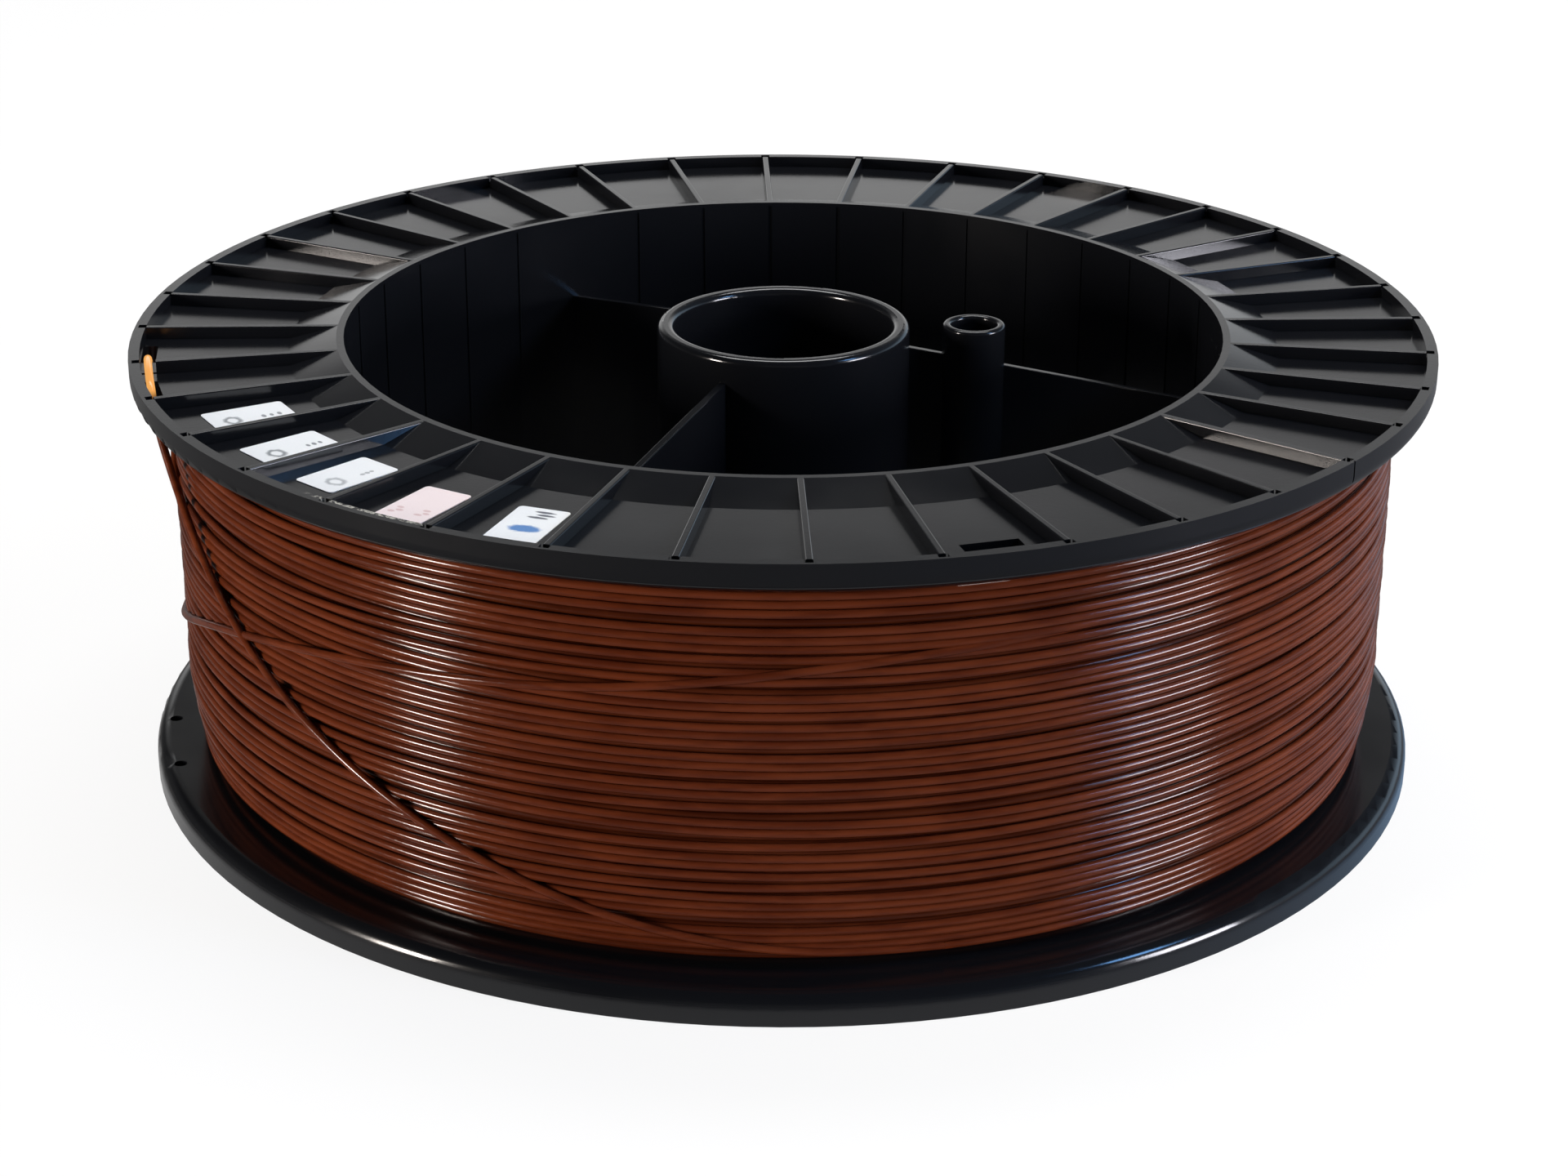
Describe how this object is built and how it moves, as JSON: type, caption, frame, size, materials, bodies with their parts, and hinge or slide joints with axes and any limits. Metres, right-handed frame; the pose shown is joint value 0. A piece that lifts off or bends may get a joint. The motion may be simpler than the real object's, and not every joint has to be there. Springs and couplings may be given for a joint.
{
  "type": "wire spool",
  "caption": "Black ribbed plastic wire spool with a spindle bore and drive hole, fully wound with brown plastic-covered wire, its end held in the upper flange.",
  "frame": {"origin": "on the spool's axis, in the face that it stands on", "axes": "+Z along the axis, upward; +X from the axis to the drive hole"},
  "size_m": [0.3, 0.3, 0.101],
  "materials": {
    "spool_plastic": "satin black moulded polystyrene",
    "wire_sheath": "glossy brown plastic covering",
    "label_paper": "white paper label, plain",
    "label_paper_pink": "faintly pink paper label, plain"
  },
  "bodies": {
    "root": {"upper_flange": "spool_plastic", "barrel_upper": "spool_plastic", "hub_upper": "spool_plastic", "drive_tube_upper": "spool_plastic", "web_drive_inner_upper": "spool_plastic", "web_drive_outer_upper": "spool_plastic", "web_left_upper": "spool_plastic", "web_right_upper": "spool_plastic", "lower_flange": "spool_plastic", "barrel_lower": "spool_plastic", "hub_lower": "spool_plastic", "drive_tube_lower": "spool_plastic", "web_drive_inner_lower": "spool_plastic", "web_drive_outer_lower": "spool_plastic", "web_left_lower": "spool_plastic", "web_right_lower": "spool_plastic", "wire_winding": "wire_sheath", "wire_tail": "wire_sheath", "label_1": "label_paper", "label_2": "label_paper", "label_3": "label_paper", "label_4": "label_paper_pink", "label_5": "label_paper"}
  },
  "joints": []
}
